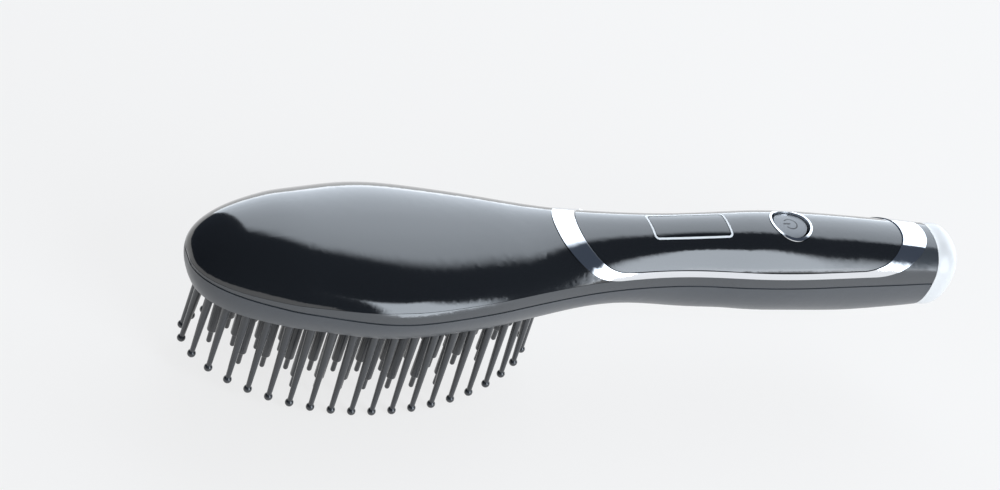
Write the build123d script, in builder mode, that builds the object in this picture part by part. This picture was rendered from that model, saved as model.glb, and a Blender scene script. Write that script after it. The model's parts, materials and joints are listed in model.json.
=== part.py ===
from build123d import *
from math import copysign, cos, pi, radians, sin, sqrt, tan
import os

# Heated hair straightening brush with an oval head, a waisted neck and a handle.
# Millimetres. X runs from the head's tip to the tail, Y across, Z up. The bristles point down.
# The origin is under the middle of the brush, on the surface that the bristle tips touch.

os.makedirs("parts", exist_ok=True)

# ------------------------------------------------------------------ driving dimensions

# Overall
overall_length = 277.0
bristle_reach = 36.5          # lowest bristle tip below the bristle plate's face
band_depth = 8.5              # bristle plate's face below the seam between the housings

# Places along the body, measured from the head's tip
widest_at = 63.0              # head at its widest
shoulder_at = 92.0            # head closing in
root_at = 120.0               # head runs into the neck
neck_at = 142.0
waist_at = 168.0              # handle at its thinnest
grip_at = 205.0               # handle at its fullest
heel_at = overall_length - 35.0
cap_at = overall_length - 10.3  # joint of the end cap

# Half widths at those places
head_half_width = 32.0
shoulder_half_width = 27.9
root_half_width = 20.8
neck_half_width = 16.3
waist_half_width = 14.0
grip_half_width = 15.3
heel_half_width = 13.8
cap_half_width = 12.6

# Crown heights above the seam
head_crown = 13.5
root_crown = 12.5
neck_crown = 13.7
waist_crown = 15.0
grip_crown = 16.5
heel_crown = 14.8
cap_crown = 12.6

# Belly depths below the seam
head_belly = 18.0
neck_belly = 13.2
waist_belly = 16.1
grip_belly = 18.0
heel_belly = 19.0
cap_belly = 16.8

# Roundness of the ends and of the cross-sections
section_power = 2.24          # 2 is an ellipse, more is squarer
nose_plan_power = (1.4, 2.45)
nose_crown_length = 37.0
nose_crown_power = (2.05, 1.84)
nose_belly_length = 20.0
nose_belly_power = (2.0, 2.0)
tail_rounding = 6.0
tip_flat = 0.2                # the very tip is flattened by this much

# Walls and fits
wall = 2.0                    # housings, head cover, trim and panel
deck_thickness = 1.6          # floor of the upper housing that carries the board
deck_start_at = 62.0          # in front of it the upper housing is an open rim
tail_pocket_at = overall_length - 19.0  # hollow of the tail behind the trim
tail_pocket_height = 7.5
rim_width = 1.0               # lip of the lower housing around the bristle plate
ramp_gap = 1.5                # from the plate's rear end to the start of the ramp
ramp_slope = 41.0             # degrees, from the flat under the head down to the neck
cap_wall = 4.5
spigot_length = 7.0           # cap's sleeve inside the housings
sleeve_gap = 0.3              # between the cap's sleeve and the lower housing
parting_gap = 0.12            # between neighbouring outside pieces
trim_proud = 0.3              # trim above the surfaces around it
groove_depth = 0.5
groove_half_height = 0.3      # shadow groove along the seam
groove_backing = 1.2          # width of the edge behind the groove

# Parting line of the covers, above the seam
skirt_height = 4.0
skirt_height_at_tip = 0.9
trim_side_height = 2.3        # height of the trim along the handle's sides

# Trim ring: where its edges cross the crown, and their slopes in side view, in degrees
trim_front_at = 122.6
trim_front_slope = 31.0
trim_rear_at = overall_length - 13.8
trim_rear_slope = 32.0
panel_front_at = 130.4
panel_front_slope = 32.5
panel_rear_at = overall_length - 24.0
panel_rear_slope = 37.0
trim_corner_radius = 26.0
panel_corner_radius = 22.0

# Display
display_at = 170.5
window_length = 27.4
window_width = 10.4
window_corner = 1.6
module_length = 24.0
module_width = 8.2
module_gap = 0.3              # display module to the window above it

# Button
button_at = 208.8
button_radius = 6.0
button_gap = 0.15             # around the button at the bottom of the ring's bevel
button_recess = 0.5           # button's top below the surface around it
button_wall = 1.2
button_travel = 0.5
flange_radius = 6.9
flange_thickness = 0.8
flange_clearance = 0.25       # flange to the underside of the ring
ring_radius = 7.9
ring_bevel_radius = 7.0
bevel_depth = 2.9
switch_size = 6.0
switch_height = 3.0
plunger_radius = 1.7
plunger_fit = 0.06            # radial running clearance of the plunger
plunger_reach = 1.2           # how far the plunger reaches into the switch
plunger_end_gap = 0.1         # left under the plunger when it is pressed

# Bristle field
field_at = 64.9
ring_half_length = 59.4       # oval of the guard bristles' tips
ring_half_width = 26.5
guard_splay = 1.6             # how far each guard bristle leans outwards
guard_count = 40
tip_bow = 8.4                 # end bristles are this much shorter than the middle ones
ball_radius = 1.4
stem_tip_radius = 0.85
stem_base_radius = 1.45
collar_radius = 1.65
collar_height = 0.6
collar_seat = 0.1             # collar's gap to the plate, as the bristle leans
root_radius = 1.1
root_gap = 0.05
plate_margin = 1.3            # plate's rear end beyond the guard bristles' tips
plate_thickness = 2.4
plate_gap = 0.15

post_pitch_x = 8.3
post_pitch_y = 8.2
post_ring_inset = 7.0         # heated posts stay this far inside the guard row
post_base_radius = 1.8
post_shoulder_radius = 1.65
post_shoulder_round = 0.6
post_hole_gap = 0.3
tip_radius = 0.85
tip_length = 5.2
tip_root_depth = 2.0
tip_root_gap = 0.05
tip_shortfall = 1.6           # heated posts end this much above the guard bristles

# Heater stack
heat_plate_gap = 0.3
heat_plate_thickness = 2.0
heat_plate_margin = 2.5       # heat plate's edge beyond the oval that holds the posts
heater_length = 28.0
heater_width = 12.0
heater_thickness = 1.5
heater_cell = 2.5             # heaters lie this many post columns from the middle
mica_thickness = 0.3
clamp_thickness = 1.0
clamp_length = 92.0
clamp_width = 16.0
sensor_column = -1.7          # post column beside which the sensor and the fuse lie
sensor_offset = 12.3
sensor_size = (5.0, 3.0, 2.0)
fuse_radius = 1.6
fuse_length = 11.0
emitter_column = -0.5
emitter_row = 1.5
needle_radius = 0.5
needle_reach = 1.5            # needle's point below the plate's face
needle_tail = 3.0             # needle above the heat plate
bush_radius = 1.3
bush_gap = 0.05

# Screws
screw_radius = 1.4
screw_gap = 0.1
screw_head_radius = 2.6
screw_head_height = 1.8
screw_head_round = 0.5
slot_length = 3.0
slot_width = 0.7
slot_depth = 1.0
boss_radius = 2.8
boss_gap = 0.2
counterbore_gap = 0.2
tower_wall = 1.7              # wall around a counterbore
head_screw_columns = (0.5, 4.5)
head_screw_row = 1.5
head_screw_grip = 6.0         # thread inside the bristle plate's boss
plate_boss_radius = 2.4
plate_boss_gap = 0.2          # plate's bosses to the underside of the deck
plate_boss_clearance = 0.3
heater_screw_columns = (-4.5, 0.5, 4.5)
heater_screw_grip = 1.4       # thread inside the bristle plate
housing_screw_places = (141.0, 223.0)
housing_screw_seat = 7.5      # underside of the screw head below the seam
housing_screw_grip = 3.5      # thread above the seam
board_screw_places = (152.0, 233.5)
board_screw_grip = 3.4        # thread below the board
board_boss_height = 3.0       # below the deck

# Board and what is on it
board_start = 147.0
board_end = 238.0
board_width = 18.0
board_thickness = 1.6
chip_at = 220.5
chip_size = (8.0, 8.0, 1.4)
triac_at = 228.0
triac_size = (4.0, 10.0, 4.2)
capacitor_at = 207.0
capacitor_radius = 5.0
capacitor_height = 12.0
generator_at = 178.0
generator_size = (28.0, 13.0, 8.0)
deck_windows = ((126.0, 136.5), (162.5, 193.5), (200.0, 214.0), (239.0, 244.5))
deck_window_width = 14.0      # openings in the deck for leads and for what hangs from the board

# Inlet and leads
socket_outer_radius = 5.9
socket_inner_radius = 4.6
socket_length = 13.0
socket_floor = 2.5
socket_gap = 0.1
inlet_pin_radius = 0.9
inlet_pin_spacing = 4.4
inlet_pin_length = 6.5        # free length in the socket
inlet_pin_tail = 2.0          # behind the socket
power_lead_radius = 0.8
power_lead_bend = 2.2
power_lead_rise = (243.5, 240.5)
heater_lead_radius = 0.6
heater_lead_offset = 4.4      # leads lie this far to each side
heater_lead_bend = 6.0
heater_lead_rise = (123.0, 134.0)

# ------------------------------------------------------------------ derived places

seam = bristle_reach + band_depth                  # height of the seam plane
socket_height = seam + (cap_crown - cap_belly) / 2
deck_top = seam + skirt_height                     # the board and the covers stand on it
deck_base = deck_top - deck_thickness
far = 60.0                                         # reach of cutting blocks


def along(distance):
    """World X of a distance from the head's tip."""
    return distance - overall_length / 2


# ------------------------------------------------------------------ body shape


def smooth_curve(stations, at):
    """Value of a smooth curve through (place, value) stations, flat at the first one."""
    at = min(max(at, stations[0][0]), stations[-1][0])
    slopes = [0.0]
    for (x0, y0), (x2, y2) in zip(stations, stations[2:]):
        slopes.append((y2 - y0) / (x2 - x0))
    slopes.append((stations[-1][1] - stations[-2][1]) / (stations[-1][0] - stations[-2][0]))
    for index in range(len(stations) - 1):
        x0, y0 = stations[index]
        x1, y1 = stations[index + 1]
        if at <= x1:
            break
    span = x1 - x0
    t = (at - x0) / span
    start = (1 + 2 * t) * (1 - t) ** 2 * y0 + t * (1 - t) ** 2 * span * slopes[index]
    end = t * t * (3 - 2 * t) * y1 - t * t * (1 - t) * span * slopes[index + 1]
    return start + end


def nose(distance, length, powers):
    """Rounding of the head's tip: 0 at the tip, 1 from the given length on."""
    left = max(0.0, 1 - distance / length)
    return (1 - left ** powers[0]) ** (1 / powers[1])


def tail(distance):
    """How far the end cap's rounding has drawn the outline in."""
    past = distance - (overall_length - tail_rounding)
    return 0.0 if past <= 0 else tail_rounding - sqrt(max(0.0, tail_rounding**2 - past**2))


def half_width(distance):
    stations = [
        (widest_at, head_half_width),
        (shoulder_at, shoulder_half_width),
        (root_at, root_half_width),
        (neck_at, neck_half_width),
        (waist_at, waist_half_width),
        (grip_at, grip_half_width),
        (heel_at, heel_half_width),
        (cap_at, cap_half_width),
    ]
    rounding = nose(distance, widest_at, nose_plan_power)
    return smooth_curve(stations, distance) * rounding - tail(distance)


def crown(distance):
    stations = [
        (nose_crown_length, head_crown),
        (root_at, root_crown),
        (neck_at, neck_crown),
        (waist_at, waist_crown),
        (grip_at, grip_crown),
        (heel_at, heel_crown),
        (cap_at, cap_crown),
    ]
    rounding = nose(distance, nose_crown_length, nose_crown_power)
    return smooth_curve(stations, distance) * rounding - tail(distance)


def belly(distance):
    stations = [
        (shoulder_at, head_belly),
        (neck_at, neck_belly),
        (waist_at, waist_belly),
        (grip_at, grip_belly),
        (heel_at, heel_belly),
        (cap_at, cap_belly),
    ]
    rounding = nose(distance, nose_belly_length, nose_belly_power)
    return smooth_curve(stations, distance) * rounding - tail(distance)


def section_places(inset, start, stop):
    """Places of the loft's sections, close together where the ends are round."""
    places = [tip_flat] + [widest_at * (step / 9) ** 2.4 for step in range(2, 10)]
    tail_from = overall_length - tail_rounding
    places += [widest_at + (tail_from - widest_at) * step / 14 for step in range(1, 15)]
    places += [tail_from + tail_rounding * sin(radians(angle)) for angle in (25, 45, 65, 80, 90)]
    first = max(start, inset, tip_flat)
    last = min(stop, overall_length - max(inset, 0))
    return [first] + [place for place in places if first + 0.5 < place < last - 0.5] + [last]


def section_plane(place):
    """Plane across the body, with its X axis along world Y and its Y axis up."""
    return Plane(origin=(along(place), 0, seam), x_dir=(0, 1, 0), z_dir=(1, 0, 0))


def skin(inset, start=0.0, stop=overall_length):
    """Solid body, drawn in by inset."""
    with BuildPart() as body:
        for place in section_places(inset, start, stop):
            wide = half_width(place) - inset
            outline = []
            for step in range(24):
                turn = pi * step / 12
                across = copysign(abs(cos(turn)) ** (2 / section_power), cos(turn))
                up = copysign(abs(sin(turn)) ** (2 / section_power), sin(turn))
                high = (crown(place) if step < 12 else belly(place)) - inset
                outline.append((wide * across, high * up))
            with BuildSketch(section_plane(place)):
                with BuildLine():
                    Spline(outline, periodic=True)
                make_face()
        loft()
    return body.part


def plan_block(inset, base, top):
    """Upright block with the body's outline in plan, drawn in by inset."""
    with BuildPart() as block:
        with BuildSketch(Plane.XY.offset(base)):
            with BuildLine():
                edge = [
                    (along(place), half_width(place) - inset)
                    for place in section_places(inset, 0, cap_at)
                ]
                other = [(x, -y) for x, y in edge]
                Spline(edge)
                Spline(other)
                Line(edge[0], other[0])
                Line(edge[-1], other[-1])
            make_face()
        extrude(amount=top - base)
    return block.part


def seam_strip(base, top):
    """Stepped-back edge of a housing along the seam, which leaves the shadow groove."""
    with BuildPart() as strip:
        add(plan_block(groove_depth, base, top))
        add(plan_block(groove_depth + groove_backing, base, top), mode=Mode.SUBTRACT)
    return strip.part


def skin_height(x, y, inset=0.0):
    """Height of the upper skin at a place, drawn in by inset."""
    distance = x + overall_length / 2
    wide = half_width(distance) - inset
    high = crown(distance) - inset
    return seam + high * (1 - (abs(y) / wide) ** section_power) ** (1 / section_power)


outside = skin(0, stop=cap_at)
inside = skin(wall, stop=cap_at + parting_gap)     # runs out through the tail

with BuildPart() as shell:
    add(outside)
    add(inside, mode=Mode.SUBTRACT)

with BuildPart() as trim_shell:
    add(skin(-trim_proud, root_at - ring_radius, cap_at - parting_gap))
    add(inside, mode=Mode.SUBTRACT)


# ------------------------------------------------------------------ parting blocks


def side_block(corners, rounded=(), radius=0.0, gap=0.0):
    """Block with a straight-edged outline in side view, as wide as needed.

    The corners at the rounded indices are rounded, and gap draws the outline in.
    """
    with BuildPart() as block:
        with BuildSketch(Plane.XZ) as side_view:
            with BuildLine():
                Polyline(*corners, close=True)
            make_face()
            if rounded:
                spots = [corners[index] for index in rounded]
                picked = [side_view.vertices().sort_by_distance(spot)[0] for spot in spots]
                fillet(picked, radius=radius)
            if gap:
                offset(amount=-gap, kind=Kind.INTERSECTION)
        extrude(amount=far, both=True)
    return block.part


def slope_line(crest, slope, foot, sense):
    """Foot and upper end of a line that leans outwards and crosses the crown at crest."""
    run = sense / tan(radians(slope))
    base = along(crest) - (crown(crest) - foot) * run
    return (base, seam + foot), (base + far * run, seam + foot + far)


trim_foot = skirt_height
panel_foot = skirt_height + trim_side_height
trim_front = slope_line(trim_front_at, trim_front_slope, trim_foot, -1)
trim_rear = slope_line(trim_rear_at, trim_rear_slope, trim_foot, 1)
panel_front = slope_line(panel_front_at, panel_front_slope, panel_foot, -1)
panel_rear = slope_line(panel_rear_at, panel_rear_slope, panel_foot, 1)

trim_corners = [trim_front[1], trim_front[0], trim_rear[0], trim_rear[1]]
trim_opening = side_block(trim_corners, (1, 2), trim_corner_radius)
trim_outline = side_block(trim_corners, (1, 2), trim_corner_radius, parting_gap)
panel_corners = [panel_front[1], panel_front[0], panel_rear[0], panel_rear[1]]
panel_opening = side_block(panel_corners, (1, 2), panel_corner_radius)
panel_outline = side_block(panel_corners, (1, 2), panel_corner_radius, parting_gap)

# line under the head cover: level, and falling towards the head's tip
before_tip = along(-far)
fall = (skirt_height - skirt_height_at_tip) / widest_at
low_start = (before_tip, deck_top - fall * (widest_at + far))
low_end = (along(widest_at), deck_top)
above = trim_rear[1][1]
cover_room = side_block(
    [trim_rear[0], trim_rear[1], (before_tip, above), low_start, low_end],
    (0,),
    trim_corner_radius,
)
head_end = along(neck_at)
head_outline = side_block(
    [low_start, low_end, (head_end, deck_top), (head_end, above), (before_tip, above)],
    gap=parting_gap,
)

# what stays of the upper housing's inside: the deck and the roof of the tail
pocket_top = seam + tail_pocket_height
deck_core = side_block(
    [
        (along(deck_start_at), deck_base),
        (along(tail_pocket_at), deck_base),
        (along(tail_pocket_at), pocket_top),
        (along(overall_length), pocket_top),
        (along(overall_length), pocket_top + far),
        (along(deck_start_at), pocket_top + far),
    ]
)

# ------------------------------------------------------------------ bristle field places

field_x = along(field_at)
button_x = along(button_at)
display_x = along(display_at)
face_height = seam - band_depth                    # underside of the bristle plate
plate_top = face_height + plate_thickness
heat_plate_base = plate_top + heat_plate_gap
heat_plate_top = heat_plate_base + heat_plate_thickness
mica_base = heat_plate_top + heater_thickness
clamp_base = mica_base + mica_thickness
clamp_top = clamp_base + clamp_thickness
post_ring_half_length = ring_half_length - post_ring_inset
post_ring_half_width = ring_half_width - post_ring_inset


def cell(column, row):
    """Place in the grid of heated posts; halves lie between posts."""
    return (field_x + column * post_pitch_x, row * post_pitch_y)


def tip_height(x):
    """Height of the guard bristles' ends, which follow a bowed line."""
    return tip_bow * ((x - field_x) / ring_half_length) ** 2


def guard_lines():
    """Root and tip of each guard bristle, evenly spaced around the oval."""
    oval = Edge.make_ellipse(ring_half_length, ring_half_width)
    lines = []
    for index in range(guard_count):
        spot = oval.position_at(oval.length * index / guard_count, PositionMode.LENGTH)
        outwards = Vector(spot.X / ring_half_length**2, spot.Y / ring_half_width**2).normalized()
        base = spot - outwards * guard_splay
        x = field_x + spot.X
        lines.append(((field_x + base.X, base.Y, face_height), (x, spot.Y, tip_height(x))))
    return lines


def post_columns():
    """Heated posts by column: X of the column and the Y of each post in it."""
    columns = {}
    for column in range(-int(post_ring_half_length // post_pitch_x), 1):
        for row in range(-int(post_ring_half_width // post_pitch_y), 1):
            x = column * post_pitch_x
            y = row * post_pitch_y
            if (x / post_ring_half_length) ** 2 + (y / post_ring_half_width) ** 2 <= 1:
                for place in {x, -x}:
                    columns.setdefault(field_x + place, set()).update({y, -y})
    return {x: sorted(columns[x]) for x in sorted(columns)}


post_places = [(x, y) for x, column in post_columns().items() for y in column]
head_screw_places = [
    cell(column, row)
    for column in head_screw_columns
    for row in (-head_screw_row, head_screw_row)
]
heater_screw_places = [cell(column, 0) for column in heater_screw_columns]
emitter_places = [cell(emitter_column, row) for row in (-emitter_row, emitter_row)]
housing_screw_spots = [(along(place), 0) for place in housing_screw_places]
board_screw_spots = [(along(place), 0) for place in board_screw_places]
sensor_x = cell(sensor_column, 0)[0]

board_top = deck_top + board_thickness
plate_boss_top = deck_base - plate_boss_gap
flange_top = skin_height(button_x, flange_radius, wall) - flange_clearance
flange_base = flange_top - flange_thickness
switch_top = board_top + switch_height
module_front = display_x - module_length / 2
module_top = skin_height(module_front, module_width / 2, wall) - module_gap


def spin_plane(root, tip):
    """Sketch plane at a bristle's root: its Y axis runs along the bristle to the tip."""
    axis = (Vector(*tip) - Vector(*root)).normalized()
    side = Vector(0, 1, 0).cross(axis).normalized()
    return Plane(origin=root, x_dir=side, z_dir=side.cross(axis))


def screw(length):
    """Pan-head screw that points down, with the underside of its head at height 0."""
    with BuildPart() as body:
        with BuildSketch():
            Circle(screw_head_radius)
        extrude(amount=screw_head_height)
        fillet(body.edges().group_by(Axis.Z)[-1], radius=screw_head_round)
        with BuildSketch():
            Circle(screw_radius)
        extrude(amount=-length)
        with BuildSketch(Plane.XY.offset(screw_head_height)):
            Rectangle(slot_length, slot_width)
            Rectangle(slot_width, slot_length)
        extrude(amount=-slot_depth, mode=Mode.SUBTRACT)
    return body.part


def pillars(places, radius, base, top):
    """Upright round pillars at the given places: bosses to add or bores to cut."""
    with BuildPart() as rods:
        with BuildSketch(Plane.XY.offset(base)):
            with Locations(*places):
                Circle(radius)
        extrude(amount=top - base)
    return rods.part


def underside(lift):
    """Everything below the flat under the head and the ramp behind it, raised by lift."""
    level = face_height + lift
    ramp_x = field_x + ring_half_length + plate_margin + ramp_gap
    with BuildPart() as block:
        with BuildSketch(Plane.XZ):
            with BuildLine():
                Polyline(
                    (along(-far), level),
                    (ramp_x, level),
                    (ramp_x + far / tan(radians(ramp_slope)), level - far),
                    (along(-far), level - far),
                    close=True,
                )
            make_face()
        extrude(amount=far, both=True)
    return block.part


def plate_oval(gap):
    """Upright oval block around the guard bristles, as tall as the plate."""
    with BuildPart() as block:
        with BuildSketch(Plane.XY.offset(face_height)):
            with Locations((field_x, 0)):
                Ellipse(
                    ring_half_length + plate_margin + gap,
                    ring_half_width + plate_margin + gap,
                )
        extrude(amount=plate_thickness + gap)
    return block.part


# ------------------------------------------------------------------ lower housing

with BuildPart() as lower_cavity:
    add(inside)
    add(underside(wall), mode=Mode.SUBTRACT)

with BuildPart() as plate_recess:
    add(skin(rim_width, stop=neck_at))
    add(plate_oval(plate_gap), mode=Mode.INTERSECT)

with BuildPart() as towers:
    for place in housing_screw_places:
        floor = seam - belly(place) + wall / 2
        tower_radius = screw_head_radius + tower_wall
        add(pillars([(along(place), 0)], tower_radius, floor, seam - boss_gap))

with BuildPart() as tower_bores:
    bore_base = seam - max(belly(place) for place in housing_screw_places) - boss_gap
    counterbore = screw_head_radius + counterbore_gap
    add(pillars(housing_screw_spots, counterbore, bore_base, seam - housing_screw_seat))
    add(pillars(housing_screw_spots, screw_radius + screw_gap, bore_base, seam))

with BuildPart() as lower_housing:
    add(outside)
    split(bisect_by=Plane.XY.offset(seam - groove_half_height), keep=Keep.BOTTOM)
    add(underside(0), mode=Mode.SUBTRACT)
    add(lower_cavity.part, mode=Mode.SUBTRACT)
    add(plate_recess.part, mode=Mode.SUBTRACT)
    add(seam_strip(seam - groove_half_height, seam))
    add(towers.part)
    add(tower_bores.part, mode=Mode.SUBTRACT)
lower_housing.part.label = "lower_housing"
export_step(lower_housing.part, "parts/lower_housing.step")

# ------------------------------------------------------------------ upper housing


def slab(length, width, base, thickness, middle):
    """Flat rectangular block, level, with its middle at a place."""
    with BuildPart() as block:
        with BuildSketch(Plane.XY.offset(base)):
            with Locations(middle):
                Rectangle(length, width)
        extrude(amount=thickness)
    return block.part


bore = screw_radius + screw_gap

with BuildPart() as upper_cavity:
    add(inside)
    add(deck_core, mode=Mode.SUBTRACT)

with BuildPart() as deck_bosses:
    add(pillars(housing_screw_spots, boss_radius, seam, deck_base))
    add(pillars(board_screw_spots, boss_radius, deck_base - board_boss_height, deck_base))

with BuildPart() as deck_bores:
    add(pillars(head_screw_places, bore, deck_base, deck_top))
    add(pillars(housing_screw_spots, bore, seam, deck_top))
    add(pillars(board_screw_spots, bore, deck_top - board_screw_grip - boss_gap, deck_top))
    for start, end in deck_windows:
        middle = (along((start + end) / 2), 0)
        add(slab(end - start, deck_window_width, deck_base, deck_thickness, middle))

with BuildPart() as upper_housing:
    add(outside)
    split(bisect_by=Plane.XY.offset(seam + groove_half_height), keep=Keep.TOP)
    add(cover_room, mode=Mode.SUBTRACT)
    add(upper_cavity.part, mode=Mode.SUBTRACT)
    add(seam_strip(seam, seam + groove_half_height))
    add(deck_bosses.part)
    add(deck_bores.part, mode=Mode.SUBTRACT)
upper_housing.part.label = "upper_housing"
export_step(upper_housing.part, "parts/upper_housing.step")

# ------------------------------------------------------------------ covers

with BuildPart() as head_cover:
    add(shell.part)
    add(head_outline, mode=Mode.INTERSECT)
    add(trim_opening, mode=Mode.SUBTRACT)
head_cover.part.label = "head_cover"
export_step(head_cover.part, "parts/head_cover.step")

with BuildPart() as handle_trim:
    add(trim_shell.part)
    add(trim_outline, mode=Mode.INTERSECT)
    add(panel_opening, mode=Mode.SUBTRACT)
handle_trim.part.label = "handle_trim"
export_step(handle_trim.part, "parts/handle_trim.step")


def window_block(gap):
    """Upright block with the window's outline, grown by gap."""
    with BuildPart() as block:
        with BuildSketch(Plane.XY.offset(board_top)):
            with Locations((display_x, 0)):
                RectangleRounded(window_length + 2 * gap, window_width + 2 * gap, window_corner)
        extrude(amount=far)
    return block.part


with BuildPart() as handle_panel:
    add(shell.part)
    add(panel_outline, mode=Mode.INTERSECT)
    add(window_block(0), mode=Mode.SUBTRACT)
    add(pillars([(button_x, 0)], ring_radius, board_top, seam + far), mode=Mode.SUBTRACT)
handle_panel.part.label = "handle_panel"
export_step(handle_panel.part, "parts/handle_panel.step")

with BuildPart() as display_window:
    add(shell.part)
    add(window_block(-parting_gap), mode=Mode.INTERSECT)
display_window.part.label = "display_window"
export_step(display_window.part, "parts/display_window.step")

# ------------------------------------------------------------------ button and its ring

crown_at_button = seam + crown(button_at)

with BuildPart() as button_ring:
    add(trim_shell.part)
    add(pillars([(button_x, 0)], ring_radius - parting_gap, board_top, seam + far), mode=Mode.INTERSECT)
    add(pillars([(button_x, 0)], button_radius + button_gap, board_top, seam + far), mode=Mode.SUBTRACT)
    with BuildSketch(Plane.XY.offset(crown_at_button - bevel_depth)):
        with Locations((button_x, 0)):
            Circle(button_radius + button_gap)
    with BuildSketch(Plane.XY.offset(crown_at_button)):
        with Locations((button_x, 0)):
            Circle(ring_bevel_radius)
    loft(mode=Mode.SUBTRACT)
    add(pillars([(button_x, 0)], ring_bevel_radius, crown_at_button, seam + far), mode=Mode.SUBTRACT)
button_ring.part.label = "button_ring"
export_step(button_ring.part, "parts/button_ring.step")

with BuildPart() as power_button:
    add(skin(button_recess, button_at - ring_radius, button_at + ring_radius))
    add(pillars([(button_x, 0)], button_radius, flange_top, seam + far), mode=Mode.INTERSECT)
    add(pillars([(button_x, 0)], flange_radius, flange_base, flange_top))
    # hollow from below, around the stem that meets the plunger
    with BuildSketch(Plane.XY.offset(flange_base)):
        with Locations((button_x, 0)):
            Circle(button_radius - button_wall)
            Circle(plunger_radius + button_wall, mode=Mode.SUBTRACT)
    extrude(amount=flange_thickness + button_wall, mode=Mode.SUBTRACT)
power_button.part.label = "power_button"
export_step(power_button.part, "parts/power_button.step")

plunger_base = switch_top - plunger_reach

with BuildPart() as switch_plunger:
    add(pillars([(button_x, 0)], plunger_radius, plunger_base, flange_base))
switch_plunger.part.label = "switch_plunger"
export_step(switch_plunger.part, "parts/switch_plunger.step")

with BuildPart() as tact_switch:
    with BuildSketch(Plane.XY.offset(board_top)):
        with Locations((button_x, 0)):
            Rectangle(switch_size, switch_size)
    extrude(amount=switch_height)
    well_floor = plunger_base - button_travel - plunger_end_gap
    add(pillars([(button_x, 0)], plunger_radius + plunger_fit, well_floor, switch_top), mode=Mode.SUBTRACT)
tact_switch.part.label = "tact_switch"
export_step(tact_switch.part, "parts/tact_switch.step")

# ------------------------------------------------------------------ bristle plate

guards = guard_lines()

with BuildPart() as bristle_plate:
    add(skin(rim_width + plate_gap, stop=neck_at))
    add(plate_oval(0), mode=Mode.INTERSECT)
    add(pillars(head_screw_places, plate_boss_radius, plate_top, plate_boss_top))
    add(pillars(head_screw_places, screw_radius + screw_gap, plate_top, plate_boss_top), mode=Mode.SUBTRACT)
    add(pillars(post_places, post_base_radius + post_hole_gap, face_height, plate_top), mode=Mode.SUBTRACT)
    add(pillars(emitter_places, bush_radius + bush_gap, face_height, plate_top), mode=Mode.SUBTRACT)
    thread_base = plate_top - heater_screw_grip - boss_gap
    add(pillars(heater_screw_places, screw_radius + screw_gap, thread_base, plate_top), mode=Mode.SUBTRACT)
    with Locations(*[spin_plane(root, tip) for root, tip in guards]):
        with Locations(Location((0, 0, 0), (90, 0, 0))):
            Cylinder(root_radius + root_gap, 3 * plate_thickness, mode=Mode.SUBTRACT)
bristle_plate.part.label = "bristle_plate"
export_step(bristle_plate.part, "parts/bristle_plate.step")

# ------------------------------------------------------------------ bristles

with BuildPart() as guard_bristles:
    for root, tip in guards:
        plane = spin_plane(root, tip)
        length = (Vector(*tip) - Vector(*root)).length
        ball_at = length - ball_radius
        neck_along = ball_at - sqrt(ball_radius**2 - stem_tip_radius**2)
        with BuildSketch(plane):
            with BuildLine():
                Polyline(
                    (0, -plate_thickness + collar_seat),
                    (root_radius, -plate_thickness + collar_seat),
                    (root_radius, collar_seat),
                    (collar_radius, collar_seat),
                    (collar_radius, collar_seat + collar_height),
                    (stem_base_radius, collar_seat + collar_height),
                    (stem_tip_radius, neck_along),
                )
                ThreePointArc(
                    (stem_tip_radius, neck_along),
                    (ball_radius, ball_at),
                    (0, length),
                )
                Line((0, length), (0, -plate_thickness + collar_seat))
            make_face()
        revolve(axis=Axis(root, plane.y_dir))
guard_bristles.part.label = "guard_bristles"
export_step(guard_bristles.part, "parts/guard_bristles.step")


def heated_post(length):
    """One heated post, hanging from height 0, with a bore for its tip."""
    bore = tip_radius + tip_root_gap
    bore_top = tip_root_depth + tip_root_gap - length
    with BuildPart() as post:
        with BuildSketch(Plane.XZ) as profile:
            with BuildLine():
                Polyline(
                    (0, 0),
                    (post_base_radius, 0),
                    (post_shoulder_radius, -length),
                    (bore, -length),
                    (bore, bore_top),
                    (0, bore_top),
                    close=True,
                )
            make_face()
            shoulder = profile.vertices().group_by(Axis.Y)[0].sort_by(Axis.X)[-1]
            fillet(shoulder, radius=post_shoulder_round)
        revolve(axis=Axis.Z)
    return post.part


with BuildPart() as heated_posts:
    for x, places in post_columns().items():
        length = heat_plate_base - tip_height(x) - tip_shortfall - tip_length
        with Locations(*[(x, y, heat_plate_base) for y in places]):
            add(heated_post(length))
heated_posts.part.label = "heated_posts"
export_step(heated_posts.part, "parts/heated_posts.step")

with BuildPart() as post_tip:
    with BuildSketch(Plane.XZ):
        with BuildLine():
            Polyline(
                (0, 0),
                (0, tip_length + tip_root_depth),
                (tip_radius, tip_length + tip_root_depth),
                (tip_radius, tip_radius),
            )
            CenterArc((0, tip_radius), tip_radius, -90, 90)
        make_face()
    revolve(axis=Axis.Z)

with BuildPart() as post_tips:
    with Locations(*[(x, y, tip_height(x) + tip_shortfall) for x, y in post_places]):
        add(post_tip.part)
post_tips.part.label = "post_tips"
export_step(post_tips.part, "parts/post_tips.step")

# ------------------------------------------------------------------ heater stack

with BuildPart() as heat_plate:
    with BuildSketch(Plane.XY.offset(heat_plate_base)):
        with Locations((field_x, 0)):
            Ellipse(
                post_ring_half_length + heat_plate_margin,
                post_ring_half_width + heat_plate_margin,
            )
        with Locations(*head_screw_places):
            Circle(plate_boss_radius + plate_boss_clearance, mode=Mode.SUBTRACT)
        with Locations(*emitter_places):
            Circle(bush_radius, mode=Mode.SUBTRACT)
        with Locations(*heater_screw_places):
            Circle(bore, mode=Mode.SUBTRACT)
    extrude(amount=heat_plate_thickness)
heat_plate.part.label = "heat_plate"
export_step(heat_plate.part, "parts/heat_plate.step")

heater_places = [cell(-heater_cell, 0), cell(heater_cell, 0)]

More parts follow.
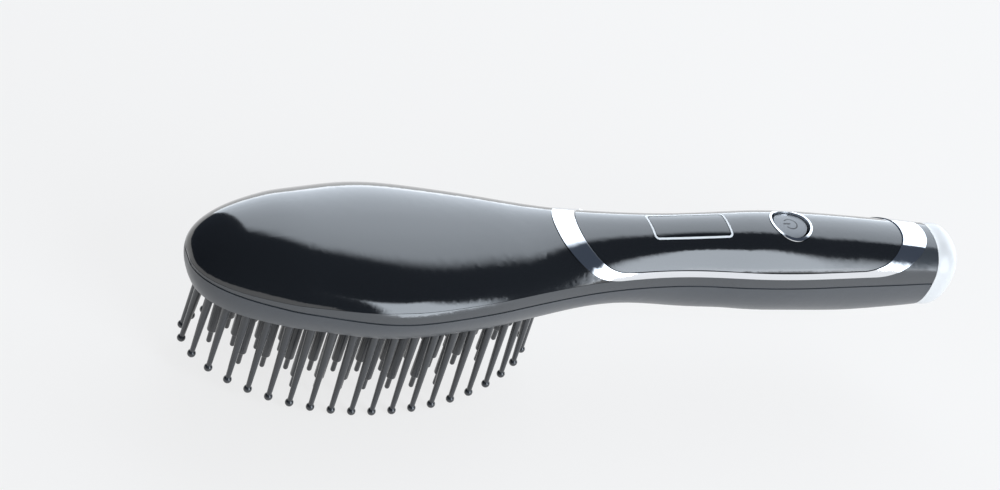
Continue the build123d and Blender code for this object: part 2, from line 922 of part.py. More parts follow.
with BuildPart() as ceramic_heaters:
    for place in heater_places:
        add(slab(heater_length, heater_width, heat_plate_top, heater_thickness, place))
ceramic_heaters.part.label = "ceramic_heaters"
export_step(ceramic_heaters.part, "parts/ceramic_heaters.step")

with BuildPart() as mica_sheet:
    add(slab(clamp_length, clamp_width, mica_base, mica_thickness, (field_x, 0)))
    add(pillars(heater_screw_places, bore, mica_base, clamp_base), mode=Mode.SUBTRACT)
mica_sheet.part.label = "mica_sheet"
export_step(mica_sheet.part, "parts/mica_sheet.step")

with BuildPart() as heater_clamp:
    add(slab(clamp_length, clamp_width, clamp_base, clamp_thickness, (field_x, 0)))
    add(pillars(heater_screw_places, bore, clamp_base, clamp_top), mode=Mode.SUBTRACT)
heater_clamp.part.label = "heater_clamp"
export_step(heater_clamp.part, "parts/heater_clamp.step")

with BuildPart() as thermistor:
    add(slab(*sensor_size[:2], heat_plate_top, sensor_size[2], (sensor_x, sensor_offset)))
thermistor.part.label = "thermistor"
export_step(thermistor.part, "parts/thermistor.step")

with BuildPart() as thermal_fuse:
    with BuildSketch(Plane.YZ.offset(sensor_x - fuse_length / 2)):
        with Locations((-sensor_offset, heat_plate_top + fuse_radius)):
            Circle(fuse_radius)
    extrude(amount=fuse_length)
thermal_fuse.part.label = "thermal_fuse"
export_step(thermal_fuse.part, "parts/thermal_fuse.step")

with BuildPart() as ion_emitters:
    add(pillars(emitter_places, bush_radius, face_height, plate_top))
    needle_base = face_height - needle_reach
    add(pillars(emitter_places, needle_radius, needle_base, heat_plate_top + needle_tail))
ion_emitters.part.label = "ion_emitters"
export_step(ion_emitters.part, "parts/ion_emitters.step")

# ------------------------------------------------------------------ board and what it carries

board_middle = along((board_start + board_end) / 2)

with BuildPart() as main_board:
    add(slab(board_end - board_start, board_width, deck_top, board_thickness, (board_middle, 0)))
    add(pillars(board_screw_spots, bore, deck_top, board_top), mode=Mode.SUBTRACT)
main_board.part.label = "main_board"
export_step(main_board.part, "parts/main_board.step")

with BuildPart() as display_module:
    add(slab(module_length, module_width, board_top, module_top - board_top, (display_x, 0)))
display_module.part.label = "display_module"
export_step(display_module.part, "parts/display_module.step")

with BuildPart() as control_chip:
    add(slab(*chip_size[:2], board_top, chip_size[2], (along(chip_at), 0)))
control_chip.part.label = "control_chip"
export_step(control_chip.part, "parts/control_chip.step")

with BuildPart() as power_triac:
    add(slab(*triac_size[:2], board_top, triac_size[2], (along(triac_at), 0)))
power_triac.part.label = "power_triac"
export_step(power_triac.part, "parts/power_triac.step")

with BuildPart() as filter_capacitor:
    place = (along(capacitor_at), 0)
    add(pillars([place], capacitor_radius, deck_top - capacitor_height, deck_top))
filter_capacitor.part.label = "filter_capacitor"
export_step(filter_capacitor.part, "parts/filter_capacitor.step")

with BuildPart() as ion_generator:
    base = deck_top - generator_size[2]
    add(slab(*generator_size[:2], base, generator_size[2], (along(generator_at), 0)))
ion_generator.part.label = "ion_generator"
export_step(ion_generator.part, "parts/ion_generator.step")

# ------------------------------------------------------------------ screws

with BuildPart() as head_screws:
    with Locations(*[(x, y, deck_top) for x, y in head_screw_places]):
        add(screw(deck_top - plate_boss_top + head_screw_grip))
head_screws.part.label = "head_screws"
export_step(head_screws.part, "parts/head_screws.step")

with BuildPart() as heater_screws:
    with Locations(*[(x, y, clamp_top) for x, y in heater_screw_places]):
        add(screw(clamp_top - plate_top + heater_screw_grip))
heater_screws.part.label = "heater_screws"
export_step(heater_screws.part, "parts/heater_screws.step")

with BuildPart() as housing_screws:
    seat = seam - housing_screw_seat
    with Locations(*[Location((x, y, seat), (180, 0, 0)) for x, y in housing_screw_spots]):
        add(screw(housing_screw_seat + housing_screw_grip))
housing_screws.part.label = "housing_screws"
export_step(housing_screws.part, "parts/housing_screws.step")

with BuildPart() as board_screws:
    with Locations(*[(x, y, board_top) for x, y in board_screw_spots]):
        add(screw(board_thickness + board_screw_grip))
board_screws.part.label = "board_screws"
export_step(board_screws.part, "parts/board_screws.step")

# ------------------------------------------------------------------ end cap and inlet

cap_start = cap_at + parting_gap
spigot_start = cap_at - spigot_length
socket_start = along(overall_length - socket_length)

with BuildPart() as cap_sleeve:
    add(skin(wall + sleeve_gap, spigot_start, cap_start + cap_wall / 2))
    split(bisect_by=Plane.XY.offset(seam), keep=Keep.BOTTOM)

with BuildPart() as end_cap:
    add(skin(0, cap_start))
    add(cap_sleeve.part)
    add(skin(cap_wall, spigot_start - sleeve_gap, overall_length - cap_wall), mode=Mode.SUBTRACT)
    with BuildSketch(Plane.YZ.offset(along(cap_at))):
        with Locations((0, socket_height)):
            Circle(socket_outer_radius + socket_gap)
    extrude(amount=far, mode=Mode.SUBTRACT)
end_cap.part.label = "end_cap"
export_step(end_cap.part, "parts/end_cap.step")

with BuildPart() as inlet_socket:
    with BuildSketch(Plane.YZ.offset(socket_start)):
        with Locations((0, socket_height)):
            Circle(socket_outer_radius)
    extrude(amount=socket_length)
    with BuildSketch(Plane.YZ.offset(socket_start + socket_floor)):
        with Locations((0, socket_height)):
            Circle(socket_inner_radius)
    extrude(amount=socket_length, mode=Mode.SUBTRACT)
    with BuildSketch(Plane.YZ.offset(socket_start)):
        with Locations((0, socket_height)):
            with GridLocations(inlet_pin_spacing, 0, 2, 1):
                Circle(inlet_pin_radius)
    extrude(amount=socket_floor, mode=Mode.SUBTRACT)
inlet_socket.part.label = "inlet_socket"
export_step(inlet_socket.part, "parts/inlet_socket.step")

with BuildPart() as inlet_pins:
    with BuildSketch(Plane.YZ.offset(socket_start - inlet_pin_tail)):
        with Locations((0, socket_height)):
            with GridLocations(inlet_pin_spacing, 0, 2, 1):
                Circle(inlet_pin_radius)
    extrude(amount=inlet_pin_tail + socket_floor + inlet_pin_length)
inlet_pins.part.label = "inlet_pins"
export_step(inlet_pins.part, "parts/inlet_pins.step")

# ------------------------------------------------------------------ inner leads


def lead(points, bend, radius):
    """Insulated wire along straight runs joined by arcs, starting square to its first run."""
    with BuildPart() as wire:
        with BuildLine() as route:
            FilletPolyline(*points, radius=bend)
        with BuildSketch(Plane(origin=points[0], z_dir=route.line @ 0.01 - route.line @ 0)):
            Circle(radius)
        sweep(path=route.line)
    return wire.part


board_middle_height = deck_top + board_thickness / 2

with BuildPart() as power_leads:
    back = socket_start - inlet_pin_tail
    for y in (-inlet_pin_spacing / 2, inlet_pin_spacing / 2):
        points = [
            (back, y, socket_height),
            (along(power_lead_rise[0]), y, socket_height),
            (along(power_lead_rise[1]), y, board_middle_height),
            (along(board_end), y, board_middle_height),
        ]
        add(lead(points, power_lead_bend, power_lead_radius))
power_leads.part.label = "power_leads"
export_step(power_leads.part, "parts/power_leads.step")

with BuildPart() as heater_leads:
    heater_end = heater_places[1][0] + heater_length / 2
    level = heat_plate_top + heater_thickness / 2
    for y in (-heater_lead_offset, heater_lead_offset):
        points = [
            (heater_end, y, level),
            (along(heater_lead_rise[0]), y, level),
            (along(heater_lead_rise[1]), y, board_middle_height),
            (along(board_start), y, board_middle_height),
        ]
        add(lead(points, heater_lead_bend, heater_lead_radius))
heater_leads.part.label = "heater_leads"
export_step(heater_leads.part, "parts/heater_leads.step")
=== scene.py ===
# %% [markdown]
# # A heated hair straightening brush
# The brush stands on its bristle tips on a pale studio floor, with its handle free in the air.
# The housings, covers and bristles are already exact solids, so this lesson is mostly about
# finishes: gloss black mouldings, a bright trim, a pearl end cap and grey satin bristles.
# Three thin pieces are modelled here, because they are printed on the real brush: the outline
# around the display and the two strokes of the power symbol.

import bpy
import json
from math import cos, pi, radians, sin
from mathutils import Matrix, Vector


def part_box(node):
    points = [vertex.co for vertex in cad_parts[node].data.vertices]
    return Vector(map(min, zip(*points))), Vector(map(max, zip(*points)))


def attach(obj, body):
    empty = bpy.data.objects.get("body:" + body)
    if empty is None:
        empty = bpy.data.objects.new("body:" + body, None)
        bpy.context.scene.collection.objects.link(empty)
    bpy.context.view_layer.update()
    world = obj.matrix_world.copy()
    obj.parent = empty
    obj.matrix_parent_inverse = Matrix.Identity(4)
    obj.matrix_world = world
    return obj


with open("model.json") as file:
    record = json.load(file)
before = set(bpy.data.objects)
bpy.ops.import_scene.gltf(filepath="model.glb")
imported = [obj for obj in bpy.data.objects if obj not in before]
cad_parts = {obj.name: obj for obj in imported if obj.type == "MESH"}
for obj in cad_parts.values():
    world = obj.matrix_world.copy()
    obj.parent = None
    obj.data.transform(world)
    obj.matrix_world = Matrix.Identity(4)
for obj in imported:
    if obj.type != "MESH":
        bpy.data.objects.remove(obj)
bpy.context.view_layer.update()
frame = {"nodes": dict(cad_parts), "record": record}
nodes = frame["nodes"]
MM = 0.001

# %% [markdown]
# ## Small helpers
# Materials, the world and the lamps all join a few nodes, so short functions make them. New
# pieces are modelled with operators, which act on whatever is selected, so another function
# clears the selection before each of them.

# %% Helpers


def feed(tree, value, socket):
    """Links another node's output to a socket, or writes a plain number into it."""
    if hasattr(value, "links"):
        tree.links.new(value, socket)
    else:
        socket.default_value = value


def calculate(tree, operation, first, second):
    """One Math node over two sockets or numbers."""
    node = tree.nodes.new("ShaderNodeMath")
    node.operation = operation
    feed(tree, first, node.inputs[0])
    feed(tree, second, node.inputs[1])
    return node.outputs[0]


def ramp(tree, socket, start, stop):
    """0 before start, 1 past stop and smooth between them; start may be the larger."""
    fade = tree.nodes.new("ShaderNodeMapRange")
    fade.interpolation_type = "SMOOTHSTEP"
    fade.inputs["From Min"].default_value = start
    fade.inputs["From Max"].default_value = stop
    tree.links.new(socket, fade.inputs["Value"])
    return fade.outputs["Result"]


def blend_shaders(tree, share, first, second):
    """Output of a Mix Shader that goes from the first shader to the second."""
    mix = tree.nodes.new("ShaderNodeMixShader")
    for index, socket in enumerate((share, first, second)):
        tree.links.new(socket, mix.inputs[index])
    return mix.outputs[0]


def deselect():
    """Nothing selected and nothing in edit mode, before a new primitive is added."""
    if bpy.context.mode != "OBJECT":
        bpy.ops.object.mode_set(mode="OBJECT")
    bpy.ops.object.select_all(action="DESELECT")


print("helpers ready")

# %% [markdown]
# ## Camera
# A camera is an empty place plus a lens. The place is given as for a tripod: what the camera
# aims at, from which side and how high, how far away, and how much it is rolled.
# A long lens from far away keeps the head and the tail at nearly the same scale.

# %% Camera
AIM = Vector((-34.1, 0.0, 50.2)) * MM
SIDE_ANGLE = radians(-30.97)
HEIGHT_ANGLE = radians(37.61)
ROLL_ANGLE = radians(20.6)
CAMERA_DISTANCE = 828.1 * MM
LENS_LENGTH = 91.93
FILM_WIDTH = 36.0
NEAREST = 10 * MM


def camera_axes(side, height, roll):
    """Right, up and backward directions of the camera."""
    back = Vector((sin(side) * cos(height), -cos(side) * cos(height), sin(height)))
    right = (-back).cross(Vector((0, 0, 1))).normalized()
    up = right.cross(-back)
    rolled_right = right * cos(roll) + up * sin(roll)
    rolled_up = up * cos(roll) - right * sin(roll)
    return rolled_right, rolled_up, back


right, up, back = camera_axes(SIDE_ANGLE, HEIGHT_ANGLE, ROLL_ANGLE)
lens = bpy.data.cameras.new("camera")
lens.lens = LENS_LENGTH
lens.sensor_width = FILM_WIDTH
lens.clip_start = NEAREST
camera = bpy.data.objects.new("camera", lens)
bpy.context.collection.objects.link(camera)
turn = Matrix((right, up, back)).transposed()
camera.matrix_world = Matrix.Translation(AIM + back * CAMERA_DISTANCE) @ turn.to_4x4()
bpy.context.scene.camera = camera
bpy.context.scene.view_settings.view_transform = "Standard"
print("camera at", [round(v, 3) for v in camera.location])

# %% [markdown]
# ## Floor
# The floor is one large pale sheet. Seen by the camera or in a reflection it is almost white
# by itself, and a share of plain diffuse colour stays in it, so that it still catches the
# brush's soft shadow. From below it is clear, so that the bristle side can be looked at.

# %% Rays that see the backdrop


def seen_rays(tree):
    """1 for rays from the camera, in reflections and through glass, and 0 for light."""
    path = tree.nodes.new("ShaderNodeLightPath")
    direct = path.outputs["Is Camera Ray"]
    mirrored = path.outputs["Is Glossy Ray"]
    through = path.outputs["Is Transmission Ray"]
    reaches = calculate(tree, "MAXIMUM", direct, mirrored)
    return calculate(tree, "MAXIMUM", reaches, through)


print("seen rays ready")

# %% Floor
FLOOR_SIZE = 12.0
FLOOR_COLOR = (0.82, 0.81, 0.8, 1)
FLOOR_GLOW = (0.95, 0.95, 0.95, 1)
SHOWN_SHARE = 0.8

deselect()
bpy.ops.mesh.primitive_plane_add(size=FLOOR_SIZE)
floor = bpy.context.object
floor.name = "studio_floor"
paper = bpy.data.materials.new("studio_paper")
paper.use_nodes = True
tree = paper.node_tree
tree.nodes.clear()
sheet = tree.nodes.new("ShaderNodeBsdfDiffuse")
sheet.inputs["Color"].default_value = FLOOR_COLOR
glow = tree.nodes.new("ShaderNodeEmission")
glow.inputs["Color"].default_value = FLOOR_GLOW
clear = tree.nodes.new("ShaderNodeBsdfTransparent")
facing = tree.nodes.new("ShaderNodeNewGeometry")
share = calculate(tree, "MULTIPLY", seen_rays(tree), SHOWN_SHARE)
top_side = blend_shaders(tree, share, sheet.outputs[0], glow.outputs[0])
one_sided = blend_shaders(tree, facing.outputs["Backfacing"], top_side, clear.outputs[0])
out = tree.nodes.new("ShaderNodeOutputMaterial")
tree.links.new(one_sided, out.inputs[0])
floor.data.materials.append(paper)
print("floor", FLOOR_SIZE, "m")

# %% [markdown]
# ## World
# The world lights the room a little from all sides. The camera sees it as a pale backdrop. In
# reflections it is pale only near the horizon and dark above, like the ceiling of a studio,
# because a gloss black dome under a white sky would look grey.

# %% World light and colours
AMBIENT = 0.3
ROOM_COLOR = (0.9, 0.94, 1.0, 1)
BACKDROP_COLOR = (0.9, 0.91, 0.92, 1)
CEILING_COLOR = (0.05, 0.062, 0.085, 1)
world = bpy.data.worlds.new("studio")
bpy.context.scene.world = world
world.use_nodes = True
tree = world.node_tree
tree.nodes.clear()
room, backdrop, ceiling = [tree.nodes.new("ShaderNodeBackground") for _ in range(3)]
room.inputs["Color"].default_value = ROOM_COLOR
room.inputs["Strength"].default_value = AMBIENT
backdrop.inputs["Color"].default_value = BACKDROP_COLOR
ceiling.inputs["Color"].default_value = CEILING_COLOR
print("world strength", AMBIENT)

# %% World by direction
HORIZON_TOP = 0.06
direction = tree.nodes.new("ShaderNodeTexCoord")
parts = tree.nodes.new("ShaderNodeSeparateXYZ")
tree.links.new(direction.outputs["Generated"], parts.inputs[0])
height = ramp(tree, parts.outputs["Z"], 0.0, HORIZON_TOP)
path = tree.nodes.new("ShaderNodeLightPath")
above = calculate(tree, "MULTIPLY", path.outputs["Is Glossy Ray"], height)
shown = blend_shaders(tree, above, backdrop.outputs[0], ceiling.outputs[0])
mix = blend_shaders(tree, seen_rays(tree), room.outputs[0], shown)
out = tree.nodes.new("ShaderNodeOutputWorld")
tree.links.new(mix, out.inputs[0])
print("dark above", HORIZON_TOP)

# %% [markdown]
# ## Lamps
# Gloss black shows hardly any colour of its own, so what one sees is the lamps' reflections.
# A very wide softbox stands behind the brush and lays the long pale reflection along the dome
# and the handle. A narrow one stands in front, and is seen in the handle's side. Both stand on
# the floor, and the room above them is dark, so that black stays black between them. The
# lamps fade out at their edges, as real softboxes do, and so do their reflections. The camera
# does not see the lamps themselves.

# %% Fading of a lamp


def fade_edges(light, top, sides):
    """Lets a lamp fade out over these shares of its height and of its width."""
    light.use_nodes = True
    tree = light.node_tree
    place = tree.nodes.new("ShaderNodeNewGeometry")
    parts = tree.nodes.new("ShaderNodeSeparateXYZ")
    tree.links.new(place.outputs["Parametric"], parts.inputs[0])
    across, up = parts.outputs["X"], parts.outputs["Y"]
    left, right = ramp(tree, across, 0.0, sides), ramp(tree, across, 1.0, 1.0 - sides)
    both = calculate(tree, "MULTIPLY", left, right)
    strength = calculate(tree, "MULTIPLY", both, ramp(tree, up, 1.0, 1.0 - top))
    tree.links.new(strength, tree.nodes["Emission"].inputs["Strength"])


print("fading ready")

# %% Lamps
LAMP_COLOR = (0.83, 0.91, 1.0)
LAMP_DISTANCE = 1.2


def softbox(name, azimuth, size, radiance, top, sides):
    """Upright rectangular lamp on the floor that faces the brush, with its size in metres."""
    width, tall = size
    light = bpy.data.lights.new(name, "AREA")
    light.shape = "RECTANGLE"
    light.size, light.size_y = width, tall
    light.energy = radiance * pi * width * tall
    light.color = LAMP_COLOR
    fade_edges(light, top, sides)
    lamp = bpy.data.objects.new(name, light)
    bpy.context.collection.objects.link(lamp)
    side = Vector((cos(radians(azimuth)), sin(radians(azimuth)), 0))
    lamp.location = side * LAMP_DISTANCE + Vector((0, 0, tall / 2))
    lamp.rotation_euler = (-side).to_track_quat("-Z", "Y").to_euler()
    lamp.visible_camera = False
    return lamp


lamps = [
    softbox("back_softbox", azimuth=46, size=(2.9, 2.25), radiance=2.4, top=0.28, sides=0.02),
    softbox("front_softbox", azimuth=-65, size=(0.98, 1.6), radiance=5.2, top=0.2, sides=0.2),
]
print("lamps", [lamp.name for lamp in lamps])

# %% [markdown]
# ## Shared effects
# Three small node groups are used by every finish. `surface_drift` changes a colour a little
# from place to place, `handling` turns an even roughness into one with faint smears, and
# `moulded_skin` gives the height of the fine texture that a steel mould leaves. All of them
# read Object coordinates, so they stay in place on each piece.

# %% Node group helper


def new_group(name, inputs, outputs):
    """Empty shader node group with float or colour sockets, and its two end nodes."""
    group = bpy.data.node_groups.new(name, "ShaderNodeTree")
    for label, kind, value in inputs:
        socket = group.interface.new_socket(label, in_out="INPUT", socket_type=kind)
        socket.default_value = value
    for label, kind in outputs:
        group.interface.new_socket(label, in_out="OUTPUT", socket_type=kind)
    return group, group.nodes.new("NodeGroupInput"), group.nodes.new("NodeGroupOutput")


def noise(tree, scale, detail=2.0, roughness=0.5):
    """Noise over Object coordinates. The scale may be a number or a socket."""
    place = tree.nodes.new("ShaderNodeTexCoord")
    texture = tree.nodes.new("ShaderNodeTexNoise")
    tree.links.new(place.outputs["Object"], texture.inputs["Vector"])
    texture.inputs["Detail"].default_value = detail
    texture.inputs["Roughness"].default_value = roughness
    feed(tree, scale, texture.inputs["Scale"])
    return texture.outputs["Fac"]


print("group helpers ready")

# %% Surface drift
FLOAT = "NodeSocketFloat"
COLOR = "NodeSocketColor"
drift, start, end = new_group(
    "surface_drift",
    [("Color", COLOR, (0.5, 0.5, 0.5, 1)), ("Scale", FLOAT, 30.0), ("Amount", FLOAT, 0.05)],
    [("Color", COLOR)],
)
MIDDLE = 0.5  # noise runs from 0 to 1
patches = noise(drift, start.outputs["Scale"], detail=3.0)
centred = calculate(drift, "SUBTRACT", patches, MIDDLE)
swing = calculate(drift, "MULTIPLY", centred, start.outputs["Amount"])
value = calculate(drift, "ADD", calculate(drift, "DIVIDE", swing, MIDDLE), 1.0)
shade = drift.nodes.new("ShaderNodeHueSaturation")
drift.links.new(start.outputs["Color"], shade.inputs["Color"])
drift.links.new(value, shade.inputs["Value"])
drift.links.new(shade.outputs["Color"], end.inputs["Color"])
print(drift.name, "made")

# %% Handling smears
handling, start, end = new_group(
    "handling",
    [("Roughness", FLOAT, 0.1), ("Smears", FLOAT, 0.05), ("Scale", FLOAT, 25.0)],
    [("Roughness", FLOAT)],
)
TIMES_FINER = 12.0
wide = noise(handling, start.outputs["Scale"], detail=4.0, roughness=0.6)
fine_scale = calculate(handling, "MULTIPLY", start.outputs["Scale"], TIMES_FINER)
both = calculate(handling, "MULTIPLY", wide, noise(handling, fine_scale))
smear = calculate(handling, "MULTIPLY", both, start.outputs["Smears"])
smeared = calculate(handling, "ADD", start.outputs["Roughness"], smear)
handling.links.new(smeared, end.inputs["Roughness"])
print(handling.name, "made")

# %% Moulded skin
moulded, start, end = new_group(
    "moulded_skin",
    [("Grain Scale", FLOAT, 900.0), ("Wave Scale", FLOAT, 60.0), ("Wave Share", FLOAT, 0.5)],
    [("Height", FLOAT)],
)
grain = noise(moulded, start.outputs["Grain Scale"])
wave = noise(moulded, start.outputs["Wave Scale"], detail=1.0)
wave_part = calculate(moulded, "MULTIPLY", wave, start.outputs["Wave Share"])
moulded.links.new(calculate(moulded, "ADD", grain, wave_part), end.inputs["Height"])
print(moulded.name, "made")

# %% [markdown]
# ## Finishes
# Each finish is one Principled shader. What is the same everywhere, such as its coat, is set
# on the shader's own sockets, and only colour, roughness and height come from the groups.

# %% Finish helper
DRIFT_SCALE = 40.0
SMEAR_SCALE = 25.0
RELIEF = 0.5 * MM
finishes = {}


def place_group(tree, group, **values):
    """Output of one of the shared groups in a material, with this material's values."""
    node = tree.nodes.new("ShaderNodeGroup")
    node.node_tree = group
    for label, value in values.items():
        node.inputs[label.replace("_", " ")].default_value = value
    return node.outputs[0]


def finish(name, color, roughness, metallic=0.0, specular=0.5, coat=0.0, coat_roughness=0.03,
           drift_amount=0.04, smears=0.06, grain_scale=900.0, wave_share=0.5, bump=0.02):
    """Principled material with drifting colour, handled roughness and a moulded skin."""
    material = finishes[name] = bpy.data.materials.new(name)
    material.use_nodes = True
    tree = material.node_tree
    shader = tree.nodes["Principled BSDF"]
    shader.inputs["Metallic"].default_value = metallic
    shader.inputs["Specular IOR Level"].default_value = specular
    shader.inputs["Coat Weight"].default_value = coat
    shader.inputs["Coat Roughness"].default_value = coat_roughness
    tint = place_group(tree, drift, Color=(*color, 1), Scale=DRIFT_SCALE, Amount=drift_amount)
    tree.links.new(tint, shader.inputs["Base Color"])
    touch = place_group(tree, handling, Roughness=roughness, Smears=smears, Scale=SMEAR_SCALE)
    tree.links.new(touch, shader.inputs["Roughness"])
    skin = place_group(tree, moulded, Grain_Scale=grain_scale, Wave_Share=wave_share)
    relief = tree.nodes.new("ShaderNodeBump")
    relief.inputs["Strength"].default_value = bump
    relief.inputs["Distance"].default_value = RELIEF
    tree.links.new(skin, relief.inputs["Height"])
    tree.links.new(relief.outputs[0], shader.inputs["Normal"])
    return material


print("finish helper ready")

# %% [markdown]
# The gloss black of the covers is nearly mirror smooth. The housings are the same plastic, a
# little less polished. The upper housing's rim shows between the covers and the seam, and its
# own black lies between the two. The trim is bright plated plastic, and the cap a pearl white.

# %% Outside finishes
finish("gloss_black", (0.009, 0.01, 0.0115), 0.08, coat=1.0, coat_roughness=0.08,
       smears=0.04, bump=0.003)
finish("body_black", (0.05, 0.057, 0.066), 0.3, specular=0.9, smears=0.1)
finish("rim_black", (0.04, 0.045, 0.051), 0.14, specular=0.9, coat=0.3, smears=0.08, bump=0.01)
finish("chrome_trim", (0.82, 0.84, 0.87), 0.05, metallic=1.0, drift_amount=0.02, bump=0.006)
finish("pearl_white", (0.77, 0.765, 0.755), 0.3, coat=0.3, coat_roughness=0.1,
       drift_amount=0.015, smears=0.08, grain_scale=2500.0, bump=0.01)
finish("window", (0.006, 0.007, 0.008), 0.05, coat=1.0, smears=0.03, bump=0.002)
finish("button_grey", (0.18, 0.19, 0.205), 0.33, specular=0.8, drift_amount=0.03)
print("outside finishes", len(finishes))

# %% [markdown]
# The bristle side works hot. Its plate has the fine texture of a spark-eroded mould, and the
# bristles are a dark grey satin, as heat-proof plastic is.

# %% Bristle side finishes
finish("plate_black", (0.02, 0.02, 0.023), 0.42, smears=0.15, grain_scale=1500.0, bump=0.12)
finish("bristle_grey", (0.03, 0.033, 0.038), 0.27, coat=0.6, coat_roughness=0.15,
       drift_amount=0.12, smears=0.12, grain_scale=1800.0, bump=0.04)
print("finishes", len(finishes))

# %% [markdown]
# Inside are bare metal, ceramic, mica, a green circuit board and dark components. They are
# hidden in the closed brush, but each still gets its own finish.

# %% Inner finishes
inner = {
    "bare_aluminium": ((0.72, 0.73, 0.75), 0.3, 1.0),
    "steel": ((0.6, 0.6, 0.62), 0.25, 1.0),
    "brass": ((0.75, 0.58, 0.3), 0.22, 1.0),
    "ceramic": ((0.8, 0.78, 0.72), 0.55, 0.0),
    "mica": ((0.42, 0.33, 0.18), 0.3, 0.0),
    "board_green": ((0.03, 0.16, 0.06), 0.25, 0.0),
    "component_black": ((0.025, 0.025, 0.028), 0.45, 0.0),
    "lead_red": ((0.35, 0.03, 0.03), 0.4, 0.0),
}
for name, (color, roughness, metallic) in inner.items():
    finish(name, color, roughness, metallic, bump=0.03)
print("finishes", len(finishes))

# %% [markdown]
# ## Dressing
# Each solid's row in the record names the slot of its finish, and the slots are named as the
# finishes are. Only the upper housing takes the more polished black of its rim instead.

# %% Dress the solids
rows = frame["record"]["subparts"]
for row in rows:
    solid = nodes[row["node"]]
    look = "rim_black" if row["node"] == "upper_housing" else row["material_slot"]
    solid.data.materials.clear()
    solid.data.materials.append(finishes[look])
print("dressed", len(rows), "solids")

# %% [markdown]
# ## Outline of the display
# The window lies flush in the panel, and a white line is printed around it. The line starts
# as a flat frame above the panel, with corners rounded by a bevel. It is then cut into short
# pieces and dropped on the panel by a Shrinkwrap modifier, so that it follows the panel's
# crown. A Solidify modifier gives it the thickness of a print.

# %% Film helper
FILM = 0.06 * MM
LIFT = 0.02 * MM
CREASE = radians(30)


def film_on(piece, carrier, material, body):
    """Drops a flat mesh on the solid below it and gives it the thickness of a print."""
    drop = piece.modifiers.new("drop", "SHRINKWRAP")
    drop.target = carrier
    drop.wrap_method = "PROJECT"
    drop.use_project_z = True
    drop.use_negative_direction = True
    drop.use_positive_direction = False
    drop.offset = LIFT
    thick = piece.modifiers.new("thick", "SOLIDIFY")
    thick.thickness = FILM
    thick.offset = 1.0
    for name in ("drop", "thick"):
        bpy.ops.object.modifier_apply(modifier=name)
    bpy.ops.object.transform_apply(location=True, rotation=True, scale=True)
    bpy.ops.object.shade_smooth_by_angle(angle=CREASE)
    piece.data.materials.clear()
    piece.data.materials.append(material)
    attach(piece, body)
    print(piece.name, "faces", len(piece.data.polygons))


print("film", FILM)

# %% Place of the window
window_low, window_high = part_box("display_window")
window_middle = (Vector(window_low) + Vector(window_high)) / 2
window_size = Vector(window_high) - Vector(window_low)
print("window", [round(v / MM, 2) for v in window_size])

# %% Display outline
LINE_WIDTH = 0.7 * MM
LINE_CORNER = 1.7 * MM
LINE_GAP = 0.25 * MM
CORNER_SEGMENTS = 6
LINE_CUTS = 9
DROP_HEIGHT = 3 * MM
white_print = finish("white_print", (0.85, 0.87, 0.88), 0.3, coat=0.3, bump=0.01)
deselect()
bpy.ops.mesh.primitive_plane_add(
    size=1, location=(window_middle.x, 0, window_high[2] + DROP_HEIGHT)
)
outline = bpy.context.object
outline.name = "display_outline"
bpy.ops.object.mode_set(mode="EDIT")
bpy.ops.mesh.select_all(action="SELECT")
border = 2 * (LINE_GAP + LINE_WIDTH)
bpy.ops.transform.resize(value=(window_size.x + border, window_size.y + border, 1))
bpy.ops.mesh.bevel(offset=LINE_CORNER, segments=CORNER_SEGMENTS, affect="VERTICES")
bpy.ops.mesh.inset(thickness=LINE_WIDTH, use_boundary=True)
bpy.ops.mesh.delete(type="FACE")
bpy.ops.mesh.select_all(action="SELECT")
bpy.ops.mesh.subdivide(number_cuts=LINE_CUTS)
bpy.ops.object.mode_set(mode="OBJECT")
film_on(outline, nodes["handle_panel"], white_print, "brush")

# %% [markdown]
# ## Power symbol
# The symbol on the button is the usual broken ring with a bar in its gap. The ring is a flat
# circle that is extruded inwards, with the faces at the gap deleted. The gap points to the
# head. Both strokes are printed on the button, so they ride on the button's body.

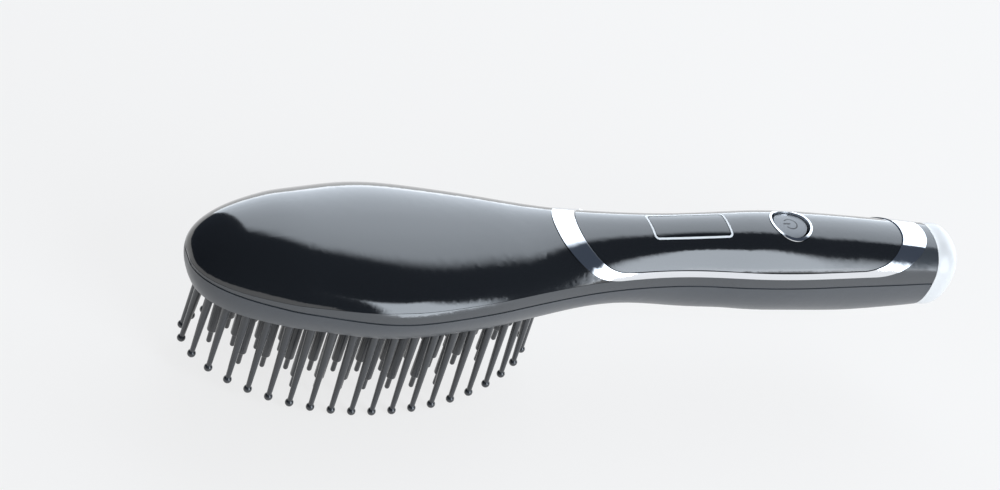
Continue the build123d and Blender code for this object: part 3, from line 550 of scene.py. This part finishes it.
# %% Ring of the symbol
SYMBOL_RADIUS = 2.6 * MM
STROKE = 0.5 * MM
SEGMENTS = 72
dark_print = finish("dark_print", (0.03, 0.032, 0.036), 0.35, bump=0.01)
button_low, button_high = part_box("power_button")
button_x = (button_low[0] + button_high[0]) / 2
above_button = button_high[2] + DROP_HEIGHT
deselect()
bpy.ops.mesh.primitive_circle_add(
    vertices=SEGMENTS,
    radius=SYMBOL_RADIUS,
    fill_type="NOTHING",
    location=(button_x, 0, above_button),
)
ring = bpy.context.object
ring.name = "power_symbol_ring"
bpy.ops.object.mode_set(mode="EDIT")
bpy.ops.mesh.select_all(action="SELECT")
bpy.ops.mesh.extrude_region_move()
inner_share = 1 - STROKE / SYMBOL_RADIUS
bpy.ops.transform.resize(value=(inner_share, inner_share, 1))
bpy.ops.mesh.select_all(action="SELECT")
bpy.ops.mesh.subdivide(number_cuts=1)
print("ring width", STROKE)

# %% Gap in the ring
GAP_ANGLE = radians(38)
TOWARD_HEAD = Vector((-1, 0))
bpy.ops.mesh.select_all(action="DESELECT")
bpy.ops.mesh.select_mode(type="FACE")
bpy.ops.object.mode_set(mode="OBJECT")
for face in ring.data.polygons:
    face.select = TOWARD_HEAD.angle(face.center.xy) < GAP_ANGLE
bpy.ops.object.mode_set(mode="EDIT")
bpy.ops.mesh.delete(type="FACE")
bpy.ops.mesh.select_all(action="SELECT")
bpy.ops.mesh.normals_make_consistent(inside=False)
bpy.ops.object.mode_set(mode="OBJECT")
film_on(ring, nodes["power_button"], dark_print, "button")

# %% Bar of the symbol
BAR_LENGTH = 2.7 * MM
BAR_FROM_MIDDLE = 0.55 * SYMBOL_RADIUS
END_ROUNDING = 0.45 * STROKE
END_SEGMENTS = 4
END_MARGIN = 0.2 * STROKE
BAR_CUTS = 3
deselect()
bpy.ops.mesh.primitive_plane_add(size=1, location=(button_x - BAR_FROM_MIDDLE, 0, above_button))
bar = bpy.context.object
bar.name = "power_symbol_bar"
bpy.ops.object.mode_set(mode="EDIT")
bpy.ops.mesh.select_all(action="SELECT")
bpy.ops.transform.resize(value=(BAR_LENGTH, STROKE, 1))
bpy.ops.mesh.bevel(offset=END_ROUNDING, segments=END_SEGMENTS, affect="VERTICES")
bpy.ops.mesh.inset(thickness=END_MARGIN)
bpy.ops.mesh.select_all(action="SELECT")
bpy.ops.mesh.subdivide(number_cuts=BAR_CUTS)
bpy.ops.object.mode_set(mode="OBJECT")
film_on(bar, nodes["power_button"], dark_print, "button")
